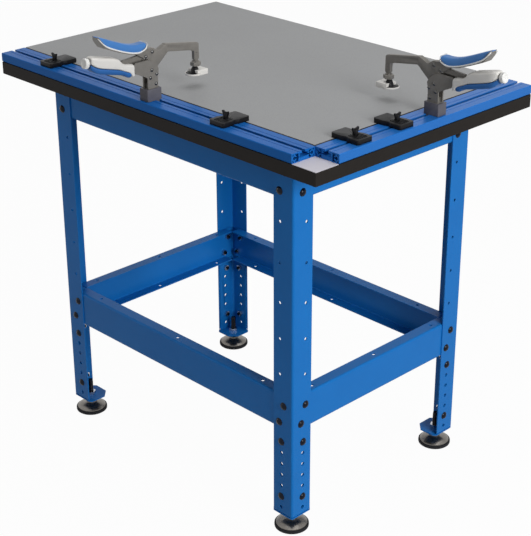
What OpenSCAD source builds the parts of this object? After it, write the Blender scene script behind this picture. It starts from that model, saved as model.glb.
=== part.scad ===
// Work table: a steel stand bolted together from angle and channel, a board top with two
// clamp tracks along its front and right edges, four track stops and two locking clamps.
// Millimetres. X runs along the long side, Y from the front to the back, Z up.
// The origin is on the floor, under the middle of the top.

/* [Top] */
// Length of the top
top_l = 914.4; // [840:0.1:1100]
// Depth of the top
top_w = 609.6; // [560:0.1:760]
// Thickness of the lower board
base_t = 25.4; // [19:0.1:32]
// Thickness of the grey work board
work_t = 19.05; // [17.6:0.05:25]
// Dark joint between the work board and the tracks
seam = 1.5; // [0.5:0.1:3]
// Thickness of the plate on the bare corner
plate_t = 0.8; // [0.4:0.1:2]

/* [Stand] */
// Floor to the underside of the top
stand_h = 794.55; // [700:0.05:900]
// Top past the legs at each end
end_over = 104.5; // [80:0.5:130]
// Top past the legs at the front and back
side_over = 53; // [40:0.5:70]
// Thickness of the steel sheet
sheet = 2.3; // [1.6:0.1:3]
// Outer radius of a bend in the sheet
bend_r = 4.5; // [3.4:0.1:7]
// Width of a leg's flanges
leg_w = 51; // [46:0.5:60]
// Bottom of a leg above the floor
leg_z = 41.6; // [40:0.1:46]
// Height of a rail or apron
rail_h = 76.2; // [66:0.1:90]
// Inward flanges of a rail or apron
rail_w = 27; // [22:0.5:34]
// Bottom of the lower rails above the floor
rail_z = 234.5; // [231:0.5:320]

/* [Holes and bolts] */
// Pitch of the height holes in the lower leg
hole_pitch = 25.4; // [24:0.1:26]
// Number of height holes in each flange
hole_count = 7; // [5:1:7]
// Lowest height hole above the floor
hole_z = 54.5; // [52:0.5:57]
// Leg corner to the line of height holes and bolts
hole_in = 30; // [27:0.5:33]
// Diameter of the height holes
hole_d = 8.4; // [7:0.1:9]
// Leg corner to the line of small holes
small_in = 35; // [32:0.5:40]
// Diameter of the small holes
small_d = 6.5; // [4:0.1:8]
// Sideways stagger of the two bolts at a joint
stagger = 6; // [3:0.5:8]
// Lower bolt of a joint above the rail's bottom edge
bolt_low = 15.6; // [13:0.1:20]
// Height between the two bolts of a joint
bolt_gap = 39; // [33:0.5:42]
// Diameter of a bolt's shank
bolt_d = 7.9; // [6:0.1:8.2]
// Diameter of a bolt's domed head
head_d = 16.5; // [14:0.1:19]
// Height of a bolt's domed head
head_h = 4.6; // [3:0.1:6]
// Height of a nut
nut_h = 6.4; // [5:0.1:8]

/* [Feet] */
// Diameter of a foot
foot_d = 70.2; // [60:0.2:76]
// Height of the rubber sole
sole_h = 8; // [6:0.1:10]
// Height of the foot's cup and boss over the sole
cup_h = 16; // [13:0.1:19]
// Diameter of the levelling stud
stud_d = 11.6; // [9:0.1:13]
// Leg corner to the stud's axis
stud_in = 26.3; // [25:0.1:29]
// Bracket tab from the leg corner to its free edges
tab_w = 58; // [54:0.5:62]
// Underside of the bracket tab above the floor
tab_z = 37; // [35:0.1:39]
// Top of the foot bracket above the floor
bracket_top = 220; // [215:0.5:228]

/* [Tracks] */
// Width of a track
track_w = 58; // [54:0.5:64]
// Outer edge of the top to the slot's middle
slot_in = 30; // [28:0.5:32]
// Width of the slot's mouth
slot_w = 8; // [7:0.1:9]
// Depth of the slot's lips
lip_t = 4; // [3:0.1:5]
// Width of the slot behind the lips
tee_w = 20; // [17:0.1:22]
// Height of the slot behind the lips
tee_h = 7.5; // [6.4:0.1:8.2]

/* [Stops] */
// Length of a stop across the track
stop_l = 66; // [60:0.5:72]
// Width of a stop along the track
stop_w = 39; // [34:0.5:46]
// Height of a stop
stop_h = 10; // [8:0.1:13]
// Outer edge of the top to the end of a stop
stop_in = 5.5; // [4:0.1:8]
// Height of a stop's thumb screw over the track
thumb_h = 25; // [20:0.5:30]

/* [Clamps] */
// Slot's middle to the inside of the arm's end
throat = 100; // [92:0.5:112]
// Height of the arm over the track
rise = 100; // [92:0.5:112]
// Slot's middle back to the middle of the grip
grip_reach = 100; // [92:0.5:110]
// Width of the clamp's foot along the track
foot_w = 24; // [21:0.5:28]
// Height of the clamp's foot
foot_h = 24; // [21:0.5:26]
// Width of the arm
arm_w = 10.4; // [8:0.1:12]
// Depth of the arm, seen from the side
arm_d = 15.4; // [12:0.1:17]
// Thickness of the clamp's side plates and lever ears
ear_t = 2.4; // [1.6:0.1:3]
// Width of the handles
handle_w = 27; // [24:0.5:31]
// Length of the pad across the arm
pad_w = 37.5; // [32:0.5:44]
// Height of the pad
pad_h = 10.5; // [8:0.1:11]
// Diameter of the adjusting knob
knob_d = 19; // [16:0.5:21]

/* [Places along the tracks] */
// Left front stop, from the middle of the top
stop_a_x = -311.5; // [-340:0.5:-280]
// Right front stop, from the middle of the top
stop_b_x = 202; // [170:0.5:240]
// Front stop of the side track
stop_c_y = -174; // [-190:0.5:-160]
// Back stop of the side track
stop_d_y = -62; // [-80:0.5:-50]
// Front clamp, from the middle of the top
clamp_a_x = 1.4; // [-40:0.1:40]
// Side clamp, from the middle of the top
clamp_b_y = 35.1; // [20:0.1:80]

/* [Hidden] */
$fn = 48;

// Colours
steel_blue = "#1F66AE";
track_blue = "#2E74C4";
board_grey = "#8E8F90";
edge_black = "#26221F";
zinc = "#C9CCD0";
black = "#1A1A1C";
clamp_grey = "#5D5B57";
shell_white = "#D8DADB";
soft_blue = "#3D79BC";
plate_white = "#DAD7DB";

// Clearances and the overrun of the cuts
over = 1;
running = 0.08;
free = 0.3;

// Derived sizes of the stand and the top
top_z = stand_h + base_t + work_t;
board_z = stand_h + base_t;
stand_l = top_l - 2 * end_over;
stand_w = top_w - 2 * side_over;
apron_z = stand_h - rail_h;
rail_in = 5 * sheet;
cope = rail_w + sheet + free;
slot_x = top_l / 2 - slot_in;
slot_y = -top_w / 2 + slot_in;
track_h = work_t;
small_step_low = 76.2;
small_step_high = 82.55;
small_z = 356.2;
small_holes = [
    small_z, small_z + small_step_low, small_z + 2 * small_step_low,
    small_z + 2 * small_step_low + small_step_high,
    small_z + 2 * small_step_low + 2 * small_step_high
];
pinned = [1, hole_count - 1];
bolt_tip = 2.4;
bolt_l = 2 * sheet + nut_h + bolt_tip;
nut_d = 14.6;
shelf_hole_d = 7.5;
shelf_hole_in = 15;
shelf_share = 0.72;
tab_chamfer_share = 0.3;

// Corner signs: the front is -1 in Y, the left is -1 in X
front_left = [-1, -1];
front_right = [1, -1];
back_left = [-1, 1];
back_right = [1, 1];
corners = [front_left, front_right, back_left, back_right];

// Heights of the staggered pair of bolts at each joint, with their sideways shift
function joint_bolts(z) = [[stagger, z + bolt_low + bolt_gap], [-stagger, z + bolt_low]];
frame_joints = concat(joint_bolts(rail_z), joint_bolts(apron_z));
bracket_joints = [for (n = pinned) [0, hole_z + n * hole_pitch]];

// Outline helpers
function unit(v) = v / norm(v);

// Points round the corner b between a and c, an arc of radius r kept within its sides
function corner_arc(a, b, c, r, steps = 4) =
    let (
        u = unit(a - b),
        v = unit(c - b),
        half = acos(u * v) / 2,
        cut = min(r / tan(half), norm(a - b) / 2, norm(c - b) / 2),
        reach = cut * tan(half),
        mid = b + unit(u + v) * reach / sin(half),
        p = b + u * cut - mid,
        q = b + v * cut - mid,
        start = atan2(p[1], p[0]),
        sweep = (atan2(q[1], q[0]) - start + 540) % 360 - 180
    )
    [for (i = [0 : steps]) mid + reach * [cos(start + sweep * i / steps), sin(start + sweep * i / steps)]];

// A closed outline with every corner rounded to the radius r
function soft(pts, r, steps = 4) =
    let (n = len(pts))
    [for (i = [0 : n - 1]) each corner_arc(pts[(i + n - 1) % n], pts[i], pts[(i + 1) % n], r, steps)];

// Unit direction of the stretch of a path that ends at point i
function heading(path, i) = unit(path[max(i, 1)] - path[max(i, 1) - 1]);

// Half-width vector at point i of a path, along the bisector of its turn
function mitre(path, i, w) =
    let (
        before = heading(path, i),
        after = heading(path, min(i + 1, len(path) - 1)),
        along = unit(before + after)
    )
    w / 2 / (along * after) * [-along[1], along[0]];

// The outline of a strip of width w along a path, with mitred turns
function strip(path, w) = concat(
    [for (i = [0 : len(path) - 1]) path[i] + mitre(path, i, w)],
    [for (i = [len(path) - 1 : -1 : 0]) path[i] - mitre(path, i, w)]
);

// A rectangle centred on the origin with rounded corners
module pill(l, w, r) {
    polygon(soft([[-l / 2, -w / 2], [l / 2, -w / 2], [l / 2, w / 2], [-l / 2, w / 2]], r));
}

// STAND

// Puts a leg-corner drawing, flanges along +X and +Y, at one corner of the stand
module at_corner(c) {
    translate([c[0] * stand_l / 2, c[1] * stand_w / 2, 0])
        mirror([c[0] > 0 ? 1 : 0, 0, 0])
            mirror([0, c[1] > 0 ? 1 : 0, 0])
                children();
}

// An angle section with its outer corner at the origin
module angle_outline(w, r) {
    inner = max(r - sheet, sheet / 4);
    polygon(concat(
        [[w, 0], [w, sheet]],
        corner_arc([w, sheet], [sheet, sheet], [sheet, w], inner),
        [[sheet, w], [0, w]],
        corner_arc([0, w], [0, 0], [w, 0], r)
    ));
}

// A hole through the flange that faces front or back
module front_hole(along, z, d, depth) {
    translate([along, depth, z])
        rotate([90, 0, 0])
            cylinder(d = d, h = 2 * depth, $fn = 24);
}

// A hole through the flange that faces an end
module end_hole(along, z, d, depth) {
    translate([-depth, along, z])
        rotate([0, 90, 0])
            cylinder(d = d, h = 2 * depth, $fn = 24);
}

module leg(c) {
    drill = 2 * sheet + over;
    color(steel_blue)
        at_corner(c)
            difference() {
                translate([0, 0, leg_z])
                    linear_extrude(height = stand_h - leg_z)
                        angle_outline(leg_w, bend_r);
                for (n = [0 : hole_count - 1]) {
                    front_hole(hole_in, hole_z + n * hole_pitch, hole_d, drill);
                    end_hole(hole_in, hole_z + n * hole_pitch, hole_d, drill);
                }
                for (z = small_holes) {
                    front_hole(small_in, z, small_d, drill);
                    end_hole(small_in, z, small_d, drill);
                }
                for (b = frame_joints) {
                    front_hole(hole_in - c[0] * b[0], b[1], hole_d, drill);
                    end_hole(hole_in - c[1] * b[0], b[1], hole_d, drill);
                }
            }
}

// A channel section, open to +Y, with its outer face on the X axis
module channel_outline() {
    polygon(concat(
        corner_arc([rail_w, 0], [0, 0], [0, rail_h], bend_r),
        corner_arc([0, 0], [0, rail_h], [rail_w, rail_h], bend_r),
        [[rail_w, rail_h], [rail_w, rail_h - sheet]],
        corner_arc([rail_w, rail_h - sheet], [sheet, rail_h - sheet], [sheet, sheet], bend_r - sheet),
        corner_arc([sheet, rail_h - sheet], [sheet, sheet], [rail_w, sheet], bend_r - sheet),
        [[rail_w, sheet], [rail_w, 0]]
    ));
}

// A channel from leg to leg, drawn along X with its web to the front, flanges coped at the ends
module channel(span, z, near, holes) {
    l = span - 2 * rail_in;
    difference() {
        translate([-l / 2, 0, z])
            rotate([90, 0, 90])
                linear_extrude(height = l)
                    channel_outline();
        for (s = [-1, 1])
            translate([s * (span / 2 - near / 2), rail_w / 2 + bend_r, z + rail_h / 2])
                cube([near, rail_w, rail_h + 2 * over], center = true);
        for (s = [-1, 1])
            for (b = joint_bolts(z))
                translate([s * (span / 2 - hole_in) + b[0], sheet + over, b[1]])
                    rotate([90, 0, 0])
                        cylinder(d = hole_d, h = sheet + 2 * over, $fn = 24);
        for (x = holes)
            translate([x, shelf_hole_in, z - over])
                cylinder(d = shelf_hole_d, h = rail_h + 2 * over, $fn = 24);
    }
}

// Turns a channel to one side of the stand: 0 front, 1 right, 2 back, 3 left
module on_side(i) {
    out = i % 2 == 0 ? stand_w / 2 : stand_l / 2;
    rotate([0, 0, 90 * i])
        translate([0, -out + sheet, 0])
            children();
}

// Bolts keep their shift along +X or +Y, so the back and left channels are mirrored
module rail(i, z) {
    span = i % 2 == 0 ? stand_l : stand_w;
    half = shelf_share * span / 2;
    color(steel_blue)
        on_side(i)
            mirror([i > 1 ? 1 : 0, 0, 0])
                channel(span, z, cope, [-half, 0, half]);
}

module foot_brackets() {
    reach = 2 * sheet + over;
    chamfer = tab_chamfer_share * tab_w;
    color(steel_blue)
        for (c = corners)
            at_corner(c)
                difference() {
                    union() {
                        translate([sheet, sheet, tab_z])
                            linear_extrude(height = bracket_top - tab_z)
                                angle_outline(leg_w - 2 * sheet, bend_r + sheet);
                        translate([0, 0, tab_z])
                            linear_extrude(height = sheet)
                                polygon(concat(
                                    corner_arc([0, tab_w], [0, 0], [tab_w, 0], bend_r),
                                    [[tab_w, 0], [tab_w, tab_w - chamfer]],
                                    [[tab_w - chamfer, tab_w], [0, tab_w]]
                                ));
                    }
                    for (n = [0 : hole_count - 1]) {
                        front_hole(hole_in, hole_z + n * hole_pitch, hole_d, reach);
                        end_hole(hole_in, hole_z + n * hole_pitch, hole_d, reach);
                    }
                    translate([stud_in, stud_in, tab_z - over])
                        cylinder(d = stud_d + 2 * running, h = sheet + 2 * over);
                }
}

// A domed bolt with its head on the plane z = 0 and its shank going down
module dome_bolt(l) {
    dome_r = (pow(head_d / 2, 2) + pow(head_h, 2)) / (2 * head_h);
    arc = asin(head_d / 2 / dome_r);
    rotate_extrude()
        polygon(concat(
            [[0, -l], [bolt_d / 2, -l], [bolt_d / 2, 0]],
            [for (i = [6 : -1 : 0]) [dome_r * sin(arc * i / 6), head_h - dome_r + dome_r * cos(arc * i / 6)]]
        ));
}

// Puts its children at every frame bolt, outward along +Z, head seat on the leg's face
module at_bolts() {
    for (c = corners)
        at_corner(c) {
            for (b = concat(frame_joints, bracket_joints))
                translate([hole_in - c[0] * b[0], 0, b[1]])
                    rotate([90, 0, 0])
                        children();
            for (b = concat(frame_joints, bracket_joints))
                translate([0, hole_in - c[1] * b[0], b[1]])
                    rotate([0, -90, 0])
                        children();
        }
}

module frame_bolts() {
    color(black) at_bolts() dome_bolt(bolt_l);
}

module nut(d, h, bore) {
    difference() {
        cylinder(d = d, h = h, $fn = 6);
        translate([0, 0, -over])
            cylinder(d = bore, h = h + 2 * over, $fn = 24);
    }
}

// Nuts behind the sheets, and the nuts on the bracket tabs that hold the levelling studs
module frame_nuts() {
    color(zinc) {
        at_bolts()
            translate([0, 0, -2 * sheet - nut_h])
                nut(nut_d, nut_h, bolt_d + 2 * running);
        for (c = corners)
            at_corner(c)
                translate([stud_in, stud_in, tab_z + sheet])
                    nut(lock_nut_d, lock_nut_h, stud_d + 2 * running);
    }
}

// TOP

screw_d = 5;
screw_head_d = 10;
screw_head_h = 3;
screw_l = 18;
screw_seat_share = 0.7;

// A pan-head screw pointing up, with its head's seat on the plane z = 0
module pan_screw() {
    translate([0, 0, -screw_head_h])
        cylinder(d1 = screw_seat_share * screw_head_d, d2 = screw_head_d, h = screw_head_h, $fn = 24);
    cylinder(d = screw_d, h = screw_l, $fn = 24);
}

// Top screws go up through the aprons' upper flanges into the lower board
module at_top_screws() {
    for (i = [0 : 3]) {
        span = i % 2 == 0 ? stand_l : stand_w;
        half = shelf_share * span / 2;
        on_side(i)
            for (x = [-half, 0, half])
                translate([x, shelf_hole_in, stand_h - sheet])
                    children();
    }
}

module top_screws() {
    color(zinc) at_top_screws() pan_screw();
}

module base_board() {
    color(edge_black)
        difference() {
            translate([-top_l / 2, -top_w / 2, stand_h])
                cube([top_l, top_w, base_t]);
            at_top_screws()
                cylinder(d = screw_d, h = screw_l, $fn = 24);
            at_track_screws()
                translate([0, 0, -track_screw_l])
                    cylinder(d = track_screw_d, h = track_screw_l + over, $fn = 24);
        }
}

module work_board() {
    color(board_grey)
        translate([-top_l / 2, -top_w / 2 + track_w + seam, board_z])
            cube([top_l - track_w - seam, top_w - track_w - seam, work_t]);
}

// Screw bosses of the track
boss_d = 11.4;
boss_bore = 6.6;
boss_slit = 2.6;
boss_sink = 0.9;
track_wall = 2.6;
track_floor = 2.2;
track_edge = 2.4;
track_screw_d = 3.5;
track_screw_l = 16;
track_screw_head_d = 7.6;
track_screw_head_h = 2.6;
track_screws_each = 6;
tee_z = track_h - lip_t - tee_h;
boss_z = track_h / 2;
chamber_top = track_h - track_wall;
groove_w = 1.2;

// One hollow of the track with its C-shaped screw boss, between two walls
module chamber(from, to, boss_x, slit_side) {
    difference() {
        translate([from, track_floor])
            square([to - from, chamber_top - track_floor]);
        translate([boss_x, boss_z])
            circle(d = boss_d, $fn = 32);
        translate([boss_x - boss_slit / 2, boss_z])
            square([boss_slit, track_h]);
        translate([boss_x - boss_slit / 2, 0])
            square([boss_slit, boss_z]);
    }
    translate([boss_x, boss_z])
        circle(d = boss_bore, $fn = 24);
    translate([slit_side > 0 ? boss_x : boss_x - boss_d, boss_z - boss_slit / 2])
        square([boss_d, boss_slit]);
}

// Section of the track: x inward from the outer edge of the top, y up from the lower board
module track_outline() {
    slot_left = slot_in - tee_w / 2 - track_wall;
    slot_right = slot_in + tee_w / 2 + track_wall;
    difference() {
        polygon([
            [track_edge, 0], [track_w, 0], [track_w, track_h], [track_edge / 2, track_h],
            [0, track_h - track_edge / 2], [0, track_edge]
        ]);
        translate([slot_in - slot_w / 2, tee_z + tee_h - over])
            square([slot_w, lip_t + 2 * over]);
        translate([slot_in - tee_w / 2, tee_z])
            square([tee_w, tee_h]);
        chamber(track_wall, slot_left, track_wall - boss_sink + boss_d / 2, 1);
        chamber(slot_right, track_w - track_wall, track_w - track_wall + boss_sink - boss_d / 2, -1);
        for (x = [slot_in - tee_w / 2 - track_wall, slot_in + tee_w / 2 + track_wall])
            translate([x, track_h - groove_w / 2])
                square([groove_w, groove_w]);
    }
}

// A length of track along +X, outer edge on the X axis
module track(l) {
    difference() {
        rotate([90, 0, 90])
            linear_extrude(height = l)
                track_outline();
        for (x = track_marks(l))
            translate([x, slot_in, -over]) {
                cylinder(d = track_screw_d + free, h = tee_z + 2 * over, $fn = 24);
                translate([0, 0, over + tee_z - track_screw_head_h])
                    cylinder(d = track_screw_head_d + free, h = track_screw_head_h + over, $fn = 24);
            }
    }
}

// Places of the screws along a track of length l
function track_marks(l) = [for (i = [0 : track_screws_each - 1]) l * (i + 0.5) / track_screws_each];

front_track_l = top_l - track_w;
side_track_l = top_w - track_w - free;

module place_front_track() {
    translate([-top_l / 2, -top_w / 2, board_z])
        children();
}

module place_side_track() {
    translate([top_l / 2, top_w / 2 - side_track_l, board_z])
        rotate([0, 0, 90])
            children();
}

module front_track() {
    color(track_blue) place_front_track() track(front_track_l);
}

module side_track() {
    color(track_blue) place_side_track() track(side_track_l);
}

// The screws' middles on top of the lower board
module at_track_screws() {
    place_front_track()
        for (x = track_marks(front_track_l))
            translate([x, slot_in, 0])
                children();
    place_side_track()
        for (x = track_marks(side_track_l))
            translate([x, slot_in, 0])
                children();
}

// Countersunk screws in the floor of the slots
module track_screws() {
    color(zinc)
        at_track_screws() {
            translate([0, 0, -track_screw_l])
                cylinder(d = track_screw_d, h = track_screw_l + tee_z - track_screw_head_h, $fn = 24);
            translate([0, 0, tee_z - track_screw_head_h])
                cylinder(d = track_screw_head_d, h = track_screw_head_h, $fn = 24);
        }
}

module corner_plate() {
    edge = seam;
    color(plate_white)
        translate([top_l / 2 - track_w + free, -top_w / 2 + edge / 2, board_z])
            cube([track_w - free - edge / 2, track_w - free - edge / 2, plate_t]);
}

// FEET

cup_edge = 3;
sole_bore_share = 0.2;
lock_nut_h = 7;
lock_nut_d = 22;
stud_top = 76;
stud_foot = 4;
stud_thread = 1.75;
stud_thread_depth = 0.6;

// The cup's outline over the sole: shares of the foot's radius, and of the cup's height
cup_shares = [[0.915, 0], [0.915, 0.16], [0.72, 0.44], [0.43, 0.6], [0.342, 0.7], [0.342, 1]];

// Rubber sole and domed steel cup with a boss for the stud
module foot(c) {
    bore = sole_bore_share * foot_d / 2;
    at_corner(c)
        translate([stud_in, stud_in, 0]) {
            color(black)
                rotate_extrude()
                    polygon(soft([
                        [bore, 0], [foot_d / 2 - cup_edge / 2, 0], [foot_d / 2, cup_edge],
                        [foot_d / 2, sole_h], [bore, sole_h]
                    ], cup_edge / 3, 2));
            color(zinc)
                difference() {
                    rotate_extrude()
                        polygon(concat(
                            [[0, sole_h]],
                            [for (s = cup_shares) [s[0] * foot_d / 2, sole_h + s[1] * cup_h]],
                            [[0, sole_h + cup_h]]
                        ));
                    translate([0, 0, sole_h + stud_foot])
                        cylinder(d = stud_d + 2 * running, h = cup_h);
                }
        }
}

// Threaded levelling stud, which turns in the foot and screws through the nut on the tab
module stud(c) {
    l = stud_top - sole_h - stud_foot;
    low = stud_d / 2 - stud_thread_depth;
    turns = floor(l / stud_thread) - 4;
    color(black)
        at_corner(c)
            translate([stud_in, stud_in, sole_h + stud_foot])
                rotate_extrude($fn = 32)
                    polygon(concat(
                        [[0, 0], [stud_d / 2, 0], [stud_d / 2, 2 * stud_thread]],
                        [for (i = [0 : turns - 1]) each [
                            [low, (i + 2.5) * stud_thread],
                            [stud_d / 2, (i + 3) * stud_thread]
                        ]],
                        [[low, l], [0, l]]
                    ));
}

// STOPS

key_l = 26;
stop_scallop = 3;
rib_h = 1.2;
rib_w = 1.6;
rib_gap = 3.4;
rib_count = 5;
rib_l = 26;
thumb_post_d = 9;
thumb_wing_w = 19;
thumb_wing_t = 3.2;
thumb_dip_share = 0.7;

// The waist of a stop along its length: end of the outer lobe, narrowest place, start of the inner
waist_shares = [0.33, 0.47, 0.62];

// Puts a stop's drawing, +X inward and the slot's middle at the origin, on the front track
module on_front(x) {
    translate([x, slot_y, top_z])
        rotate([0, 0, 90])
            children();
}

// The same on the side track
module on_side_track(y) {
    translate([slot_x, y, top_z])
        rotate([0, 0, 180])
            children();
}

// Outline of a stop in plan: a square inner end, waisted sides and a rounded outer end
module stop_outline() {
    out = stop_in - slot_in;
    in = out + stop_l;
    half = stop_w / 2;
    waist = half - stop_scallop;
    x = [for (s = waist_shares) out + s * stop_l];
    polygon(soft([
        [out, -waist], [out + stop_scallop, -half], [x[0], -half], [x[1], -waist],
        [x[2], -half], [in, -half], [in, waist], [in - stop_scallop, half],
        [x[2], half], [x[1], waist], [x[0], half], [out + stop_scallop, half], [out, waist]
    ], stop_scallop, 3));
}

// The key of a stop or a clamp in the slot: a head behind the lips and a neck between them
module slot_key(l, stem_top) {
    head_t = tee_h - 2 * free;
    translate([-tee_w / 2 + free, -l / 2, -lip_t - free - head_t])
        cube([tee_w - 2 * free, l, head_t]);
    translate([-slot_w / 2 + free, -l / 2, -lip_t - 2 * free])
        cube([slot_w - 2 * free, l, lip_t + 2 * free + stem_top]);
}

module stop() {
    out = stop_in - slot_in;
    color(black) {
        difference() {
            union() {
                translate([0, 0, free])
                    linear_extrude(height = stop_h - rib_h)
                        stop_outline();
                for (i = [0 : rib_count - 1])
                    translate([
                        out + 2 * stop_scallop,
                        (i - (rib_count - 1) / 2) * (rib_w + rib_gap) - rib_w / 2,
                        stop_h - rib_h
                    ])
                        cube([rib_l, rib_w, rib_h + free]);
            }
            translate([0, 0, -over])
                cylinder(d = thumb_post_d / 2 + 2 * running, h = stop_h + 2 * over);
            translate([0, 0, stop_h / 2])
                cylinder(d = thumb_post_d + 4 * free, h = stop_h);
        }
        difference() {
            slot_key(key_l, free - running);
            translate([0, 0, -track_h])
                cylinder(d = thumb_post_d / 2 + 2 * running, h = 2 * track_h);
        }
    }
}

// Thumb screw of a stop: a wing on a round post, and the screw down into the key
module thumb() {
    color(black) {
        translate([0, 0, -lip_t - free - tee_h / 2])
            cylinder(d = thumb_post_d / 2, h = lip_t + free + tee_h / 2 + stop_h);
        translate([0, 0, stop_h / 2])
            cylinder(d = thumb_post_d, h = thumb_h - stop_h);
        translate([0, 0, stop_h + rib_h])
            rotate([90, 0, 90])
                linear_extrude(height = thumb_wing_t, center = true)
                    polygon(soft([
                        [-thumb_post_d / 2, 0], [thumb_post_d / 2, 0],
                        [thumb_wing_w / 2, thumb_h - stop_h - rib_h], [0, thumb_dip_share * (thumb_h - stop_h)],
                        [-thumb_wing_w / 2, thumb_h - stop_h - rib_h]
                    ], thumb_wing_t / 2, 3));
    }
}

// CLAMPS
// Drawn in their own plane: +X inward over the board, -X out to the handles, Z up from the
// track, the slot's middle at the origin. Shares are of throat or grip_reach, and of rise.

function at(share) = [share[0] * (share[0] > 0 ? throat : grip_reach), share[1] * rise];
function spots(shares) = [for (s = shares) at(s)];

arm_pivot_share = [-0.095, 0.6];
lever_pivot_share = [-0.07, 0.95];
link_pivot_share = [-0.225, 0.885];
link_end_share = [-0.72, 0.86];
knob_share = [-1.575, 1.02];
ball_share = [1.07, 0.345];

arm_pivot = at(arm_pivot_share);
lever_pivot = at(lever_pivot_share);
link_pivot = at(link_pivot_share);
link_end = at(link_end_share);
knob_mid = at(knob_share);
ball = at(ball_share);
knob_tilt = atan2(knob_mid[1] - link_end[1], link_end[0] - knob_mid[0]);

tray_t = 3.6;
ear_in = arm_w / 2 + free;
pin_r = 2.8;
rivet_r = 3.4;
rivet_h = 1.6;
clamp_soft = 3;
knob_t = 8;
knob_ribs = 12;
knob_screw_r = 3;
knob_screw_l = 26;
mortise = 8;
palm_in = 1;
hex_h = 9;
rivet_core_share = 0.7;
rivet_top_share = 0.6;
spacer_share = 0.083;
plan_taper_share = 0.86;
cushion_gap_share = 0.004;
arm_groove_share = 0.45;
link_end_r_share = 0.9;
stem_share = 0.8;
pad_drop_share = 0.9;
dish_floor_share = 0.4;
dish_r_share = 0.44;
dish_cone_share = 0.75;
pad_front_share = 1.27;
grip_plan_shares = [-0.53, -1.51];
cushion_plan_shares = [-0.6, -1.55];
tray_plan_shares = [-0.19, -1.34];
palm_plan_shares = [-0.215, -1.32];
foot_rear_share = -0.25;
foot_front_share = 0.095;
neck_rear_share = -0.195;
neck_front_share = 0.05;

plate_shares = [
    [0.05, 0.48], [0.075, 0.6], [0.04, 0.67], [-0.08, 0.775], [-0.2, 0.81], [-0.49, 0.805],
    [-0.5, 0.785], [-0.7, 0.785], [-0.7, 0.73], [-0.6, 0.68], [-0.5, 0.64], [-0.485, 0.6],
    [-0.31, 0.52], [-0.195, 0.46]
];
pocket_shares = [[-0.44, 0.79], [-0.705, 0.79], [-0.705, 0.725], [-0.6, 0.674], [-0.5, 0.632], [-0.44, 0.6]];
slot_shares = [[-0.44, 0.795], [-0.84, 0.795], [-0.84, 1.1], [-0.44, 1.1]];
rivet_shares = [[0.025, 0.505], [-0.135, 0.455], [-0.003, 0.32]];
arm_path_shares = [[0.02, 0.74], [0.32, 0.944], [1.063, 0.822], [1.077, 0.535]];
arm_root_shares = [
    [0.105, 0.93], [-0.01, 1.01], [-0.12, 1.02], [-0.14, 0.92], [-0.17, 0.53], [-0.03, 0.52], [0.07, 0.637]
];
grip_under_shares = [[-1.38, 0.905], [-0.85, 0.77], [-0.73, 0.71], [-0.66, 0.69], [-0.61, 0.66]];
grip_shares = concat(
    [
        [-0.54, 0.575], [-0.54, 0.815], [-0.6, 0.83], [-0.66, 0.85], [-0.725, 0.88],
        [-0.8, 0.945], [-0.88, 0.99], [-1.46, 1.13], [-1.5, 1.1], [-1.5, 1.0]
    ],
    grip_under_shares,
    [[-0.6, 0.575]]
);
cushion_shares = [
    [-0.61, 0.58], [-0.7, 0.575], [-0.76, 0.64], [-1.0, 0.7], [-1.38, 0.79], [-1.49, 0.86], [-1.52, 0.97]
];
tray_shares = [
    [-0.225, 1.1], [-0.24, 1.07], [-0.4, 0.99], [-0.66, 1.045], [-0.9, 1.133], [-1.18, 1.25], [-1.33, 1.455]
];
crown_shares = [
    [-1.31, 1.47], [-1.13, 1.405], [-0.81, 1.27], [-0.5, 1.165], [-0.35, 1.145], [-0.23, 1.155]
];
ear_shares = [
    [-0.25, 1.045], [-0.46, 0.985], [-0.42, 0.95], [-0.27, 0.86], [-0.2, 0.83], [-0.03, 0.885],
    [-0.005, 0.97], [-0.08, 1.02]
];

// A solid of width w across the clamp from an outline in the clamp's plane
module across(w) {
    rotate([90, 0, 0])
        linear_extrude(height = w, center = true)
            children();
}

// Two plates of thickness t on either side, their inner faces at y = +-from
module pair(from, t) {
    for (s = [-1, 1])
        translate([0, s * (from + t / 2), 0])
            across(t)
                children();
}

// A round rod across the clamp through the point p
module rod(p, r, w) {
    translate([p[0], 0, p[1]])
        rotate([90, 0, 0])
            cylinder(r = r, h = w, center = true);
}

// Foot block with the key in the slot and a socket for the side plates
module clamp_foot() {
    rear = at([foot_rear_share, 0])[0];
    front = at([foot_front_share, 0])[0];
    neck = [at([neck_rear_share, 0])[0], at([neck_front_share, 0])[0]];
    color(clamp_grey) {
        difference() {
            translate([(rear + front) / 2, 0, free])
                linear_extrude(height = foot_h - free)
                    pill(front - rear, foot_w, clamp_soft / 2);
            translate([neck[0] - free, -ear_in - ear_t - free, foot_h - mortise])
                cube([neck[1] - neck[0] + 2 * free, 2 * (ear_in + ear_t + free), mortise + over]);
        }
        slot_key(foot_w, free + over);
    }
}

// Two riveted side plates on the pin that carries the arm
module clamp_body() {
    outline = spots(plate_shares);
    neck = [at([neck_rear_share, 0])[0], at([neck_front_share, 0])[0]];
    color(clamp_grey) {
        pair(ear_in, ear_t)
            polygon(soft(concat(
                [[neck[0], foot_h - mortise], [neck[1], foot_h - mortise]], outline
            ), clamp_soft, 3));
        translate([neck[0], -ear_in, foot_h - mortise])
            cube([neck[1] - neck[0], 2 * ear_in, mortise + spacer_share * rise]);
        for (p = spots(rivet_shares))
            rod(p, rivet_core_share * rivet_r, 2 * (ear_in + ear_t));
        for (p = spots(rivet_shares))
            rivet(p);
        rod(arm_pivot, pin_r, 2 * (ear_in + ear_t));
        rivet(arm_pivot);
    }
}

// Domed rivet heads on both outer faces
module rivet(p) {
    for (s = [-1, 1])
        translate([p[0], s * (ear_in + ear_t), p[1]])
            rotate([-90 * s, 0, 0])
                cylinder(r1 = rivet_r, r2 = rivet_top_share * rivet_r, h = rivet_h, $fn = 24);
}

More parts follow.
